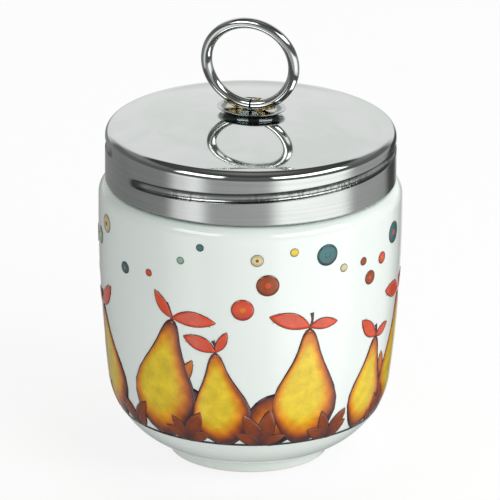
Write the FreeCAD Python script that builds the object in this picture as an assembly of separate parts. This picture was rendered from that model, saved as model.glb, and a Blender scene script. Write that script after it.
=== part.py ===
"""Porcelain egg coddler: glazed cup, steel screw lid with a rolled thread, and its upright lifting ring.

Millimetres. The origin is the centre of the foot plane, +Z up, and the lifting ring stands in the XZ plane.
Angles are in degrees about +Z, from +X.
"""
import FreeCAD
import Part
import math
import os

V = FreeCAD.Vector
UP = V(0, 0, 1)
ORIGIN = V(0, 0, 0)

# Cup, outside
FOOT_R = 17.3               # outer radius of the foot ring, where it meets the bowl
FOOT_H = 2.5                # height of the foot ring
FOOT_DRAFT = 0.4            # how much the foot ring narrows to the table
FOOT_W = 2.6                # width of the band that the cup stands on
FOOT_ROUND = 0.6
BELLY_R = 29.8              # radius where the bowl runs into the wall
BELLY_Z = 17.5
BODY_R = 32.0               # radius under the shoulder
BODY_BARREL = 0.65          # how far the wall swells outside a straight cone
SHOULDER_Z = 60.1           # height of the ledge under the lid's skirt
SHOULDER_ROUND = 3.0
SHOULDER_W = 3.2            # how far the screw neck stands in from the wall under the shoulder
NECK_R = BODY_R - SHOULDER_W
NECK_H = 10.4               # from the ledge to the rim
NECK_FILLET = 0.5
RIM_ROUND = 0.9

# Cup, inside
NECK_WALL = 3.4
BODY_WALL = 3.6
FLOOR_T = 4.2               # porcelain under the middle of the egg cavity
FLOOR_R = 11.0              # flat middle of the cavity's floor
UNDERSIDE_RISE = 1.5        # recess inside the foot ring

# Lid, drawn from one sheet
SHEET_T = 0.45
NECK_THREAD_H = 1.05
THREAD_CLEAR = 0.35         # crest of the neck's thread to the inside of the skirt
LID_R = NECK_R + NECK_THREAD_H + THREAD_CLEAR + SHEET_T
LID_CORNER_R = 2.1          # outer radius of the rolled corner
LID_SAGITTA = 3.0           # how far the dome rises inside the corner
SKIRT_GAP = 0.3             # from the ledge to the skirt's lower edge
SEAL_ROOM = 1.45            # from the porcelain rim to the plane of the dome's edge
SKIRT_H = NECK_H + SEAL_ROOM - SKIRT_GAP - LID_CORNER_R

# Screw thread, two starts, right hand
THREAD_STARTS = 2
THREAD_LEAD = 7.35          # rise in one turn
LID_THREAD_LENGTH = 168.0   # degrees round the skirt
LID_THREAD_START = -129.0   # where the first start begins
GROOVE_W = 2.1              # rolled groove, as seen outside
THREAD_TOP_GAP = 0.12       # from the groove's upper end to the rolled corner
LID_THREAD_Z = SKIRT_H - THREAD_TOP_GAP - GROOVE_W / 2 - THREAD_LEAD * LID_THREAD_LENGTH / 360
GROOVE_DEPTH = 0.5
RIDGE_W = 2.1               # its back, as it stands inside the skirt
RIDGE_H = 0.8
NECK_THREAD_W = 2.2
NECK_THREAD_LENGTH = 160.0
NECK_THREAD_BEFORE = 67.0   # degrees that a neck thread begins ahead of the lid's

# Seal, a flat washer with its top face shaped to the dome
SEAL_IN_GAP = 0.3           # inside the mouth's edge to the washer's bore
SEAL_W = 3.2
SEAL_REST_GAP = 0.05        # washer to rim
SEAL_LID_GAP = 0.15         # washer to the inside of the dome

# Lifting ring, bent from wire
RING_R = 9.4                # to the middle of the wire
WIRE_R = 1.15
RING_BUTT_GAP = 0.35        # between the two cut ends, at the bottom
RING_LEAN = 5.0             # degrees forward, as it was brazed on
RING_SEAT_GAP = 0.02        # ring to collar

# Dished collar under the ring
COLLAR_R = 7.6
COLLAR_LIP_R = 5.4
COLLAR_LIP_H = 1.15         # lip over the top of the dome
COLLAR_DISH_H = 0.45        # middle of the dish over the top of the dome
COLLAR_FLANK_BULGE = 0.35
COLLAR_LIP_ROUND = 0.12
COLLAR_SEAT_GAP = 0.02      # collar to dome

# Braze beads between ring and collar
BRAZE_R = 1.2
BRAZE_OUT = 4.3             # from the axis to the middle of each bead
BRAZE_SINK = 0.15           # middle of the bead under the wire's lowest line there

SWEEP_EMBED = 0.25          # how far a swept thread reaches into the wall that carries it


class Ball:
    """The ball that a shallow dome is part of: a base circle at a height, and a rise in the middle.

    A negative rise makes a dish.
    """

    def __init__(self, base_r, base_z, rise):
        self.side = 1 if rise > 0 else -1
        self.radius = (base_r ** 2 + rise ** 2) / (2 * abs(rise))
        self.centre_z = base_z + rise - self.side * self.radius

    def z(self, r):
        return self.centre_z + self.side * math.sqrt(self.radius ** 2 - r ** 2)


class Outline:
    """A closed profile in the XZ plane, drawn with lines and arcs."""

    def __init__(self, x, z):
        self.start = V(x, 0, z)
        self.at = self.start
        self.edges = []

    def line(self, x, z):
        end = V(x, 0, z)
        self.edges.append(Part.LineSegment(self.at, end).toShape())
        self.at = end
        return self

    def arc(self, mid, end):
        self.edges.append(Part.Arc(self.at, V(mid[0], 0, mid[1]), V(end[0], 0, end[1])).toShape())
        self.at = V(end[0], 0, end[1])
        return self

    def bulge(self, x, z, sagitta):
        """Arc to a point; a positive sagitta bulges to the right of the way drawn."""
        end = V(x, 0, z)
        chord = end - self.at
        side = V(chord.z, 0, -chord.x).normalize()
        mid = (self.at + end) * 0.5 + side * sagitta
        return self.arc((mid.x, mid.z), (x, z))

    def over(self, ball, r):
        """Arc over a ball, from the last point to a radius."""
        half = (self.at.x + r) / 2
        return self.arc((half, ball.z(half)), (r, ball.z(r)))

    def face(self):
        if (self.at - self.start).Length > 1e-6:
            self.line(self.start.x, self.start.z)
        return Part.Face(Part.Wire(self.edges))


def turned(outline):
    return outline.face().revolve(ORIGIN, UP, 360)


def quarter(centre, radius, a0, a1):
    """Middle and end of an arc about a centre, from its two angles in degrees."""
    mid = math.radians((a0 + a1) / 2)
    end = math.radians(a1)
    return ((centre[0] + radius * math.cos(mid), centre[1] + radius * math.sin(mid)),
            (centre[0] + radius * math.cos(end), centre[1] + radius * math.sin(end)))


def end_sagitta(x0, z0, x1, z1, lean):
    """Sagitta of the arc from one point to another that arrives at an angle, lean radians off vertical."""
    chord = math.hypot(x1 - x0, z1 - z0)
    chord_lean = math.atan2(x1 - x0, z1 - z0)
    return chord / 2 * math.tan((chord_lean - lean) / 2)


def helical_rib(radius, height, width, embed, start_angle, start_z, length, inwards):
    """A rounded rib that climbs a cylinder: it stands out of the wall, or inwards."""
    side = -1 if inwards else 1
    foot = radius - side * embed
    helix = Part.makeHelix(THREAD_LEAD, THREAD_LEAD * length / 360, radius)
    crest = V(radius + side * height, 0, 0)
    low = V(radius, 0, -width / 2)
    high = V(radius, 0, width / 2)
    section = Part.Wire([
        Part.LineSegment(V(foot, 0, -width / 2), low).toShape(),
        Part.Arc(low, crest, high).toShape(),
        Part.LineSegment(high, V(foot, 0, width / 2)).toShape(),
        Part.LineSegment(V(foot, 0, width / 2), V(foot, 0, -width / 2)).toShape(),
    ])
    rib = Part.Wire(helix.Edges).makePipeShell([section], True, True)
    rib.rotate(ORIGIN, UP, start_angle)
    rib.translate(V(0, 0, start_z))
    return rib


def thread_starts(first_angle, first_z, length, **rib):
    """Every start of a thread, spaced evenly round the axis."""
    step = 360 / THREAD_STARTS
    return [helical_rib(start_angle=first_angle + i * step, start_z=first_z, length=length, **rib)
            for i in range(THREAD_STARTS)]


def cup_shape():
    """Turned porcelain body with its foot, shoulder, screw neck and egg cavity."""
    rim_z = SHOULDER_Z + NECK_H
    table_r = FOOT_R - FOOT_DRAFT
    foot_in = table_r - FOOT_W
    wall_z = SHOULDER_Z - SHOULDER_ROUND
    wall_lean = math.atan2(BODY_R - BELLY_R, wall_z - BELLY_Z)
    wall_turn = 2 * math.atan(2 * BODY_BARREL / math.hypot(BODY_R - BELLY_R, wall_z - BELLY_Z))
    bowl_sagitta = end_sagitta(FOOT_R, FOOT_H, BELLY_R, BELLY_Z, wall_lean + wall_turn)
    floor_z = UNDERSIDE_RISE + FLOOR_T
    mouth_r = NECK_R - NECK_WALL
    belly_in = BELLY_R - BODY_WALL
    body_in = BODY_R - BODY_WALL
    belly_in_z = BELLY_Z + BODY_WALL / 4
    bowl_in_sagitta = end_sagitta(FLOOR_R, floor_z, belly_in, belly_in_z, wall_lean + wall_turn)
    throat_z = wall_z - NECK_WALL

    body = Outline(0, UNDERSIDE_RISE)
    body.line(foot_in - UNDERSIDE_RISE, UNDERSIDE_RISE)
    body.line(foot_in, FOOT_ROUND / 2)
    body.bulge(foot_in + FOOT_ROUND / 2, 0, FOOT_ROUND / 8)
    body.line(table_r - FOOT_ROUND, 0)
    body.arc(*quarter((table_r - FOOT_ROUND, FOOT_ROUND), FOOT_ROUND, -90, 0))
    body.line(FOOT_R, FOOT_H)
    body.bulge(BELLY_R, BELLY_Z, bowl_sagitta)
    body.bulge(BODY_R, wall_z, BODY_BARREL)
    body.arc(*quarter((BODY_R - SHOULDER_ROUND, wall_z), SHOULDER_ROUND, 0, 90))
    body.line(NECK_R + NECK_FILLET, SHOULDER_Z)
    body.bulge(NECK_R, SHOULDER_Z + NECK_FILLET, -NECK_FILLET * 0.29)
    body.line(NECK_R, rim_z - RIM_ROUND)
    body.arc(*quarter((NECK_R - RIM_ROUND, rim_z - RIM_ROUND), RIM_ROUND, 0, 90))
    body.line(mouth_r + RIM_ROUND, rim_z)
    body.arc(*quarter((mouth_r + RIM_ROUND, rim_z - RIM_ROUND), RIM_ROUND, 90, 180))
    body.line(mouth_r, SHOULDER_Z)
    body.bulge(body_in, throat_z, -NECK_WALL / 8)
    body.bulge(belly_in, belly_in_z, -BODY_BARREL)
    body.bulge(FLOOR_R, floor_z, -bowl_in_sagitta)
    body.line(0, floor_z)
    cup = turned(body)

    start_z = (SHOULDER_Z + SKIRT_GAP + LID_THREAD_Z + THREAD_LEAD / THREAD_STARTS / 2
               - THREAD_LEAD * NECK_THREAD_BEFORE / 360)
    ribs = thread_starts(LID_THREAD_START - NECK_THREAD_BEFORE, start_z, NECK_THREAD_LENGTH,
                         radius=NECK_R, height=NECK_THREAD_H, width=NECK_THREAD_W,
                         embed=SWEEP_EMBED, inwards=False)
    return cup.fuse(ribs).removeSplitter()


def lid_levels():
    """Heights of the lid: the skirt's edge, the plane where the corner starts, and the rim plane."""
    edge_z = SHOULDER_Z + SKIRT_GAP
    corner_z = edge_z + SKIRT_H
    return edge_z, corner_z, corner_z + LID_CORNER_R


def dome(drop=0.0):
    """Ball of the lid's dome, or of one that lies under it by a drop."""
    return Ball(LID_R - LID_CORNER_R, lid_levels()[2] - drop, LID_SAGITTA)


def lid_shape():
    """Domed sheet lid whose skirt carries the rolled thread: a groove outside, a ridge inside."""
    edge_z, corner_z, rim_z = lid_levels()
    corner_x = LID_R - LID_CORNER_R
    inner_r = LID_R - SHEET_T
    inner_corner = LID_CORNER_R - SHEET_T
    under = dome(SHEET_T)

    sheet = Outline(inner_r, edge_z + SHEET_T / 2)
    sheet.bulge(LID_R, edge_z + SHEET_T / 2, SHEET_T / 2)
    sheet.line(LID_R, corner_z)
    sheet.arc(*quarter((corner_x, corner_z), LID_CORNER_R, 0, 90))
    sheet.over(dome(), 0)
    sheet.line(0, under.z(0))
    sheet.over(under, corner_x)
    sheet.arc(*quarter((corner_x, corner_z), inner_corner, 90, 0))
    lid = turned(sheet)

    ridges = thread_starts(LID_THREAD_START, edge_z + LID_THREAD_Z, LID_THREAD_LENGTH,
                           radius=inner_r, height=RIDGE_H, width=RIDGE_W,
                           embed=SHEET_T / 2, inwards=True)
    grooves = thread_starts(LID_THREAD_START, edge_z + LID_THREAD_Z, LID_THREAD_LENGTH,
                            radius=LID_R, height=GROOVE_DEPTH, width=GROOVE_W,
                            embed=SWEEP_EMBED, inwards=True)
    return lid.fuse(ridges).cut(grooves)


def seal_shape():
    """Soft washer between the porcelain rim and the inside of the dome."""
    rim_z = SHOULDER_Z + NECK_H + SEAL_REST_GAP
    inner = NECK_R - NECK_WALL + SEAL_IN_GAP
    outer = inner + SEAL_W
    top = dome(SHEET_T + SEAL_LID_GAP)
    washer = Outline(inner, rim_z)
    washer.line(outer, rim_z)
    washer.line(outer, top.z(outer))
    washer.line(inner, top.z(inner))
    return turned(washer)


def collar_shape():
    """Turned collar: a seat that follows the dome, a rounded flank, a lip and a dished top."""
    seat = dome(-COLLAR_SEAT_GAP)
    top_z = dome().z(0)
    lip_z = top_z + COLLAR_LIP_H - COLLAR_LIP_ROUND
    dish_r = COLLAR_LIP_R - COLLAR_LIP_ROUND
    dish = Ball(dish_r, lip_z, top_z + COLLAR_DISH_H - lip_z)
    collar = Outline(0, seat.z(0))
    collar.over(seat, COLLAR_R)
    collar.bulge(COLLAR_LIP_R + COLLAR_LIP_ROUND, lip_z, COLLAR_FLANK_BULGE)
    collar.bulge(dish_r, lip_z, COLLAR_LIP_ROUND)
    collar.over(dish, 0)
    return turned(collar)


def ring_foot_z():
    """Height of the lowest line of the ring's wire."""
    return dome().z(0) + COLLAR_DISH_H + RING_SEAT_GAP


def ring_shape():
    """Wire ring, open by a hair at the bottom where its two cut ends meet."""
    gap = math.degrees(RING_BUTT_GAP / RING_R)
    foot = V(0, 0, ring_foot_z())
    start = foot + V(0, 0, WIRE_R)
    centre = start + V(0, 0, RING_R)
    wire = Part.Face(Part.Wire(Part.makeCircle(WIRE_R, start, V(1, 0, 0))))
    wire.rotate(centre, V(0, 1, 0), gap / 2)
    ring = wire.revolve(centre, V(0, 1, 0), 360 - gap)
    ring.rotate(start, V(1, 0, 0), RING_LEAN)
    return ring


def braze_shape(side, ring, collar):
    """Bead of braze in the wedge between ring and collar, on one side."""
    outer = RING_R + WIRE_R
    under_z = ring_foot_z() + outer - math.sqrt(outer ** 2 - BRAZE_OUT ** 2)
    bead = Part.makeSphere(BRAZE_R, V(side * BRAZE_OUT, 0, under_z - BRAZE_SINK))
    return bead.cut(ring).cut(collar)


def main():
    os.makedirs("parts", exist_ok=True)
    ring = ring_shape()
    collar = collar_shape()
    parts = {
        "porcelain_cup": cup_shape(),
        "screw_lid": lid_shape(),
        "lid_seal": seal_shape(),
        "ring_collar": collar,
        "lifting_ring": ring,
        "braze_left": braze_shape(-1, ring, collar),
        "braze_right": braze_shape(1, ring, collar),
    }
    for name, shape in parts.items():
        shape.exportStep("parts/" + name + ".step")
        box = shape.BoundBox
        print(name, "solids", len(shape.Solids), "volume %.1f" % shape.Volume,
              "z %.2f to %.2f" % (box.ZMin, box.ZMax), "valid", shape.isValid())


main()
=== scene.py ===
"""Looks of a porcelain egg coddler: a glazed cup with a printed border, a polished screw lid and its ring.

Sizes are in millimetres where a piece is drawn, and a mesh is scaled to metres once, when it is built.
"""
import logging
import math
import random
from collections.abc import Callable, Iterator, Sequence
from contextlib import contextmanager
from dataclasses import dataclass, field
from enum import Enum

import bpy
import numpy as np
from mathutils import Matrix, Vector


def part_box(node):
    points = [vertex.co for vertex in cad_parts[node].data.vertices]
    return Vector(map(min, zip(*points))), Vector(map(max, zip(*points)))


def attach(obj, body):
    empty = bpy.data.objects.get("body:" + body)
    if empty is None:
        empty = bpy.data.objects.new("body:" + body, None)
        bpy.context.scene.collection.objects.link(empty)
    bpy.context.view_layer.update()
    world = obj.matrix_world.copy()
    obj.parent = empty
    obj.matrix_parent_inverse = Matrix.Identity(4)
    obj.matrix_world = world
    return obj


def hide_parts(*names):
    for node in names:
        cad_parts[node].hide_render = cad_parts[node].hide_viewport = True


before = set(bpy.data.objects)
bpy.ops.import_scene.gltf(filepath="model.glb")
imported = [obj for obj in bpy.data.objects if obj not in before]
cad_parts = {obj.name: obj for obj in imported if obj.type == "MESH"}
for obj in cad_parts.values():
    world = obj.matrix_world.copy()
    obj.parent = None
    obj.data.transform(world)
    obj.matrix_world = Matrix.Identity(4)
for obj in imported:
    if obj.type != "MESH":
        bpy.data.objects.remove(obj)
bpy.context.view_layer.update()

MM = 0.001
NEAR_MM = 0.2
HAIR_MM = 0.02
LOG = logging.getLogger("coddler")

Colour = tuple[float, float, float]
Point = tuple[float, float]
Curve = Callable[[np.ndarray], np.ndarray]
Paint = Callable[[np.ndarray, np.ndarray], np.ndarray]
Socket = bpy.types.NodeSocket
GLAZE = {"IOR": 1.54, "Coat Weight": 0.6, "Coat Roughness": 0.03, "Coat IOR": 1.5}


class Body(Enum):
    """Bodies of the model that a piece can ride on."""

    CUP = "cup"
    SEAL = "seal"
    LID = "lid"


class Slot(Enum):
    """Finishes that the record names."""

    PORCELAIN = "porcelain"
    STEEL = "polished_steel"
    SEAL = "soft_seal"
    BRAZE = "braze"


# Shader building


class Shader:
    """A material, or a node group, that is filled node by node."""

    def __init__(self, tree: bpy.types.NodeTree) -> None:
        """Wraps the tree of a material, a world or a node group."""
        self.tree = tree

    def add(self, kind: str, /, inputs: dict | None = None, **settings: object) -> bpy.types.Node:
        """Adds a node, sets its options and sockets.

        Args:
            kind: Blender's type name of the node.
            inputs: Socket name or number to a value, or to another node's output.
            **settings: Options of the node itself.

        Returns:
            The new node.
        """
        node = self.tree.nodes.new(kind)
        for name, value in settings.items():
            setattr(node, name, value)
        self.feed(node, inputs or {})
        return node

    def feed(self, node: bpy.types.Node, inputs: dict) -> None:
        """Links outputs into a node's sockets, or sets the sockets' own values."""
        for name, value in inputs.items():
            if isinstance(value, Socket):
                self.tree.links.new(value, node.inputs[name])
            else:
                node.inputs[name].default_value = value

    def place(self) -> Socket:
        """Object coordinates."""
        return self.add("ShaderNodeTexCoord").outputs["Object"]

    def split(self, vector: Socket) -> Sequence[Socket]:
        """The three parts of a vector."""
        return self.add("ShaderNodeSeparateXYZ", {0: vector}).outputs

    def noise(self, place: Socket, size: object = 1.0, detail: float = 2.0, **more: float) -> Socket:
        """Grey noise at a place."""
        inputs = {"Vector": place, "Scale": size, "Detail": detail, **more}
        return self.add("ShaderNodeTexNoise", inputs).outputs["Fac"]

    def stretched(self, place: Socket, scale: Colour, turn: Colour = (0.0, 0.0, 0.0)) -> Socket:
        """Coordinates scaled and turned, for noise that runs one way."""
        inputs = {"Vector": place, "Scale": scale, "Rotation": turn}
        return self.add("ShaderNodeMapping", inputs).outputs[0]

    def math(self, operation: str, *values: object, clamp: bool = False) -> Socket:
        """Adds a Math node of one to three values, and returns its output."""
        inputs = dict(enumerate(values))
        return self.add("ShaderNodeMath", inputs, operation=operation, use_clamp=clamp).outputs[0]

    def blend(self, share: object, a: Socket, b: Socket) -> Socket:
        """Mixes two shaders."""
        return self.add("ShaderNodeMixShader", {0: share, 1: a, 2: b}).outputs[0]

    def backdrop(self, colour: object, strength: float = 1.0) -> Socket:
        """Adds a Background node of a world."""
        return self.add("ShaderNodeBackground", {"Color": colour, "Strength": strength}).outputs[0]

    def attribute(self, name: str) -> bpy.types.NodeOutputs:
        """Outputs of a value that is kept at each point of the mesh."""
        return self.add("ShaderNodeAttribute", attribute_name=name).outputs

    def ramp(self, value: object, stops: Sequence[tuple[float, float | Colour]],
             ease: str = "LINEAR") -> Socket:
        """Adds a Color Ramp node.

        Args:
            value: What runs along the ramp.
            stops: Place and grey level or colour of each stop.
            ease: How the ramp runs between stops.

        Returns:
            The colour output.
        """
        node = self.add("ShaderNodeValToRGB", {"Fac": value})
        node.color_ramp.interpolation = ease
        marks = node.color_ramp.elements
        while len(marks) < len(stops):
            marks.new(1.0)
        for mark, (place, tone) in zip(marks, stops):
            colour = (tone, tone, tone) if isinstance(tone, (int, float)) else tone
            mark.position = place
            mark.color = (*colour, 1.0)
        return node.outputs["Color"]

    def mix(self, factor: object, a: object, b: object, blend: str = "MIX") -> Socket:
        """Adds a colour Mix node and returns its colour output."""
        node = self.add("ShaderNodeMix", {0: factor}, data_type="RGBA", blend_type=blend)
        self.feed(node, {number: (*tone, 1.0) if isinstance(tone, tuple) else tone
                         for number, tone in ((6, a), (7, b))})
        return node.outputs[2]

    def times(self, a: object, b: object, share: object = 1.0) -> Socket:
        """Multiplies one colour by another, by a share."""
        return self.mix(share, a, b, "MULTIPLY")

    def group(self, group: bpy.types.NodeTree, inputs: dict[str, float]) -> bpy.types.NodeOutputs:
        """Places a node group and returns its outputs."""
        node = self.add("ShaderNodeGroup", node_tree=group)
        self.feed(node, inputs)
        return node.outputs

    def bump(self, height: object, depth_mm: float, over: Socket | None = None,
             share: object = 1.0) -> Socket:
        """Adds a Bump node for a height of 0 to 1 and a real depth, over a normal, and returns its normal."""
        inputs = {"Height": height, "Distance": depth_mm * MM, "Strength": share}
        return self.add("ShaderNodeBump", inputs | ({"Normal": over} if over else {})).outputs[0]


def new_material(name: str,
                 constants: dict[str, object]) -> tuple[bpy.types.Material, Shader, bpy.types.Node]:
    """Starts a material on the Principled shader.

    Args:
        name: Name of the material.
        constants: Sockets of the shader that have one value all over.

    Returns:
        The material, its shader tree and the Principled node.
    """
    material = bpy.data.materials.new(name)
    material.use_nodes = True
    shader = Shader(material.node_tree)
    surface = material.node_tree.nodes["Principled BSDF"]
    shader.feed(surface, constants)
    return material, shader, surface


def new_group(name: str, inputs: dict[str, float],
              outputs: Sequence[str]) -> tuple[Shader, dict[str, Socket], bpy.types.Node]:
    """Starts a shader node group.

    Args:
        name: Name of the group.
        inputs: Name and default of each number that goes in.
        outputs: Name of each number that comes out.

    Returns:
        The group's shader tree, its inputs by name and its output node.
    """
    tree = bpy.data.node_groups.new(name, "ShaderNodeTree")
    for label, default in inputs.items():
        socket = tree.interface.new_socket(label, in_out="INPUT", socket_type="NodeSocketFloat")
        socket.default_value = default
    for label in outputs:
        tree.interface.new_socket(label, in_out="OUTPUT", socket_type="NodeSocketFloat")
    entry = tree.nodes.new("NodeGroupInput")
    leave = tree.nodes.new("NodeGroupOutput")
    return Shader(tree), {label: entry.outputs[label] for label in inputs}, leave


def glaze_group() -> bpy.types.NodeTree:
    """Fired glaze: slow waves, pin specks and a little change in gloss."""
    shader, given, leave = new_group("fired_glaze", {"Wave Size": 60.0, "Gloss": 0.07},
                                     ("Height", "Roughness"))
    place = shader.place()
    waves = shader.noise(place, given["Wave Size"], 1.5)
    specks = shader.ramp(shader.noise(place, 900.0, 0.0), ((0.76, 0.0), (0.84, 1.0)))
    shader.feed(leave, {"Height": shader.math("MULTIPLY_ADD", specks, -0.12, waves),
                        "Roughness": shader.math("MULTIPLY_ADD", waves, 0.05, given["Gloss"])})
    return shader.tree


def polish_group() -> bpy.types.NodeTree:
    """Polished metal: lines left by the wheel, hairline scratches, and soft smears."""
    shader, given, leave = new_group("wheel_polish", {"Line Size": 2500.0, "Scratches": 1.0, "Gloss": 0.05},
                                     ("Height", "Roughness", "Smear"))
    place = shader.place()
    x, y, z = shader.split(place)
    flat = shader.add("ShaderNodeCombineXYZ", {0: x, 1: y}).outputs[0]
    radius = shader.add("ShaderNodeVectorMath", {0: flat}, operation="LENGTH").outputs["Value"]
    lines = shader.add("ShaderNodeTexNoise", {"W": shader.math("ADD", radius, z), "Scale": given["Line Size"],
                                              "Detail": 3.0}, noise_dimensions="1D").outputs["Fac"]
    hairs = shader.noise(shader.stretched(place, (1.0, 14.0, 14.0), (0.3, 0.5, 0.9)), 190.0)
    scratches = shader.ramp(hairs, ((0.66, 0.0), (0.70, 1.0), (0.74, 0.0)))
    marks = shader.math("MULTIPLY", scratches, given["Scratches"])
    smear = shader.ramp(shader.noise(place, 85.0, 3.0, Distortion=0.8), ((0.35, 0.0), (0.72, 1.0)))
    wear = shader.math("ADD", smear, marks)
    shader.feed(leave, {"Height": shader.math("MULTIPLY_ADD", marks, -0.5, lines),
                        "Roughness": shader.math("MULTIPLY_ADD", wear, 0.05, given["Gloss"]), "Smear": smear})
    return shader.tree


# Finishes


@dataclass(frozen=True)
class Porcelain:
    """Cool white glazed porcelain, greener where the glaze pools, bare on the foot's edge."""

    white: Colour = (0.835, 0.865, 0.845)
    pooled: Colour = (0.69, 0.80, 0.745)
    bare: Colour = (0.80, 0.78, 0.73)
    bare_dark: Colour = (0.70, 0.67, 0.61)
    foot_edge_mm: float = 0.45
    pools_mm: tuple[Point, ...] = ((2.6, 1.3), (60.2, 1.6), (6.2, 2.0))
    gloss: float = 0.05

    def material(self, glaze: bpy.types.NodeTree) -> bpy.types.Material:
        """Makes the material from the shared glaze group."""
        material, shader, surface = new_material("glazed_porcelain", GLAZE | {
            "Subsurface Weight": 0.12, "Subsurface Radius": (1.0, 1.0, 0.9), "Subsurface Scale": 0.0012})
        place = shader.place()
        height = shader.split(place)[2]
        fired = shader.group(glaze, {"Wave Size": 55.0, "Gloss": self.gloss})
        cloudy = shader.ramp(shader.noise(place, 40.0, 3.0), ((0.35, 0.0), (0.75, 0.14)))
        colour = shader.mix(cloudy, self.white, self.pooled)
        for level, reach in self.pools_mm:
            away = shader.math("ABSOLUTE", shader.math("SUBTRACT", height, level * MM))
            near = shader.math("SUBTRACT", 1.0, shader.math("DIVIDE", away, reach * MM), clamp=True)
            colour = shader.mix(shader.math("MULTIPLY", near, 0.55), colour, self.pooled)
        edge = shader.math("LESS_THAN", height, self.foot_edge_mm * MM)
        bisque = shader.mix(shader.noise(place, 1400.0, 4.0), self.bare, self.bare_dark)
        shader.feed(surface, {
            "Base Color": shader.mix(edge, colour, bisque),
            "Roughness": shader.math("MULTIPLY_ADD", edge, 0.65, fired["Roughness"]),
            "Coat Weight": shader.math("SUBTRACT", GLAZE["Coat Weight"], edge, clamp=True),
            "Normal": shader.bump(fired["Height"], 0.05)})
        return material


@dataclass(frozen=True)
class GlazeInk:
    """Ceramic print under the same glaze, its colour kept in the mesh as ink."""

    grain: float = 0.22

    def material(self, glaze: bpy.types.NodeTree) -> bpy.types.Material:
        """Makes the material that every printed shape shares, from the shared glaze group."""
        material, shader, surface = new_material("printed_enamel", GLAZE)
        place = shader.place()
        fired = shader.group(glaze, {"Wave Size": 55.0, "Gloss": 0.06})
        blots = shader.noise(place, 420.0, 5.0)
        blots = shader.math("MULTIPLY_ADD", shader.noise(place, 2600.0), 0.35, blots)
        tone = shader.ramp(blots, ((0.48, 1.0 - self.grain), (0.86, 1.0 + self.grain * 0.2)))
        shader.feed(surface, {"Base Color": shader.times(shader.attribute("ink")["Color"], tone),
                              "Roughness": fired["Roughness"], "Normal": shader.bump(fired["Height"], 0.05)})
        return material


@dataclass(frozen=True)
class PolishedSteel:
    """Bright steel with the marks of its polishing wheel."""

    name: str
    tone: Colour = (0.80, 0.82, 0.81)
    smear_tone: Colour = (0.72, 0.77, 0.73)
    gloss: float = 0.035
    line_size: float = 2600.0
    line_depth_mm: float = 0.0012
    scratches: float = 0.5
    skirt_mm: Point | None = None
    skirt_rough: float = 0.12
    dents_mm: float = 0.0
    heat_at_mm: tuple[tuple[float, float, float], ...] = ()
    heat_reach_mm: float = 2.6
    painted_flank_shade: Colour | None = None

    def material(self, polish: bpy.types.NodeTree) -> bpy.types.Material:
        """Makes the steel, with a satin skirt, painted shade on a flank and heat tint where they are asked
        for.
        """
        material, shader, surface = new_material(self.name, {"Metallic": 1.0})
        place = shader.place()
        marks = shader.group(polish, {"Line Size": self.line_size, "Scratches": self.scratches,
                                      "Gloss": self.gloss})
        colour = shader.mix(marks["Smear"], self.tone, self.smear_tone)
        rough = marks["Roughness"]
        dents = shader.bump(shader.noise(place, 260.0, 1.0), self.dents_mm) if self.dents_mm else None
        normal = shader.bump(marks["Height"], self.line_depth_mm, dents)
        if self.skirt_mm:
            height = shader.split(place)[2]
            low, high = (level * MM for level in self.skirt_mm)
            on_skirt = shader.math("MULTIPLY", shader.math("GREATER_THAN", height, low),
                                   shader.math("LESS_THAN", height, high))
            rough = shader.math("MULTIPLY_ADD", on_skirt, self.skirt_rough, rough)
            colour, normal = self.worked_skirt(shader, place, on_skirt, colour, normal)
        # painted shade: the flank under the collar's lip is mixed towards a dark tone
        if self.painted_flank_shade:
            colour = shader.mix(shader.attribute("flank")["Fac"], colour, self.painted_flank_shade)
        for spot in self.heat_at_mm:
            gap = shader.add("ShaderNodeVectorMath", {0: place, 1: Vector(spot) * MM}, operation="DISTANCE")
            near = shader.math("DIVIDE", gap.outputs["Value"], self.heat_reach_mm * MM, clamp=True)
            tint = shader.ramp(near, ((0.0, (0.52, 0.36, 0.18)), (0.32, (0.74, 0.60, 0.34)),
                                      (0.62, (0.90, 0.83, 0.66)), (1.0, (1.0, 1.0, 1.0))))
            colour = shader.times(colour, tint)
        shader.feed(surface, {"Base Color": colour, "Roughness": rough, "Normal": normal})
        return material

    @staticmethod
    def worked_skirt(shader: Shader, place: Socket, on_skirt: Socket, colour: Socket,
                     normal: Socket) -> tuple[Socket, Socket]:
        """Adds drawing lines round the skirt, painted shade in the groove, and the chatter of the roll there.

        Args:
            shader: The material's tree.
            place: Object coordinates.
            on_skirt: Mask of the skirt.
            colour: Colour so far.
            normal: Normal so far.

        Returns:
            The colour and the normal.
        """
        lines = shader.noise(shader.stretched(place, (30.0, 30.0, 3200.0)), 1.0, 3.0)
        drawn = shader.ramp(lines, ((0.30, 0.84), (0.62, 1.0)))
        colour = shader.mix(shader.math("MULTIPLY", on_skirt, 0.6), colour, shader.times(colour, drawn))
        streaks = shader.bump(lines, 0.0018, normal, on_skirt)
        groove = shader.attribute("groove")["Fac"]
        chatter = shader.noise(shader.stretched(place, (1500.0, 1500.0, 420.0)))
        worn = shader.ramp(shader.noise(place, 70.0), ((0.44, 0.0), (0.58, 1.0)))
        wide = shader.ramp(groove, ((0.0, 0.0), (0.10, 1.0)))
        # painted shade: the colour darkens with the groove's depth, standing for shade in the recess
        groove_shade = shader.ramp(groove, ((0.0, 1.0), (0.14, 0.20), (0.50, 0.30), (0.86, 0.95), (1.0, 0.85)))
        specks = shader.ramp(chatter, ((0.40, 0.25), (0.54, 1.0)))
        colour = shader.times(colour, groove_shade)
        in_groove = shader.math("MULTIPLY", wide, worn)
        colour = shader.mix(shader.math("MULTIPLY", in_groove, 0.7), colour, shader.times(colour, specks))
        return colour, shader.bump(chatter, 0.09, streaks, in_groove)


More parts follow.
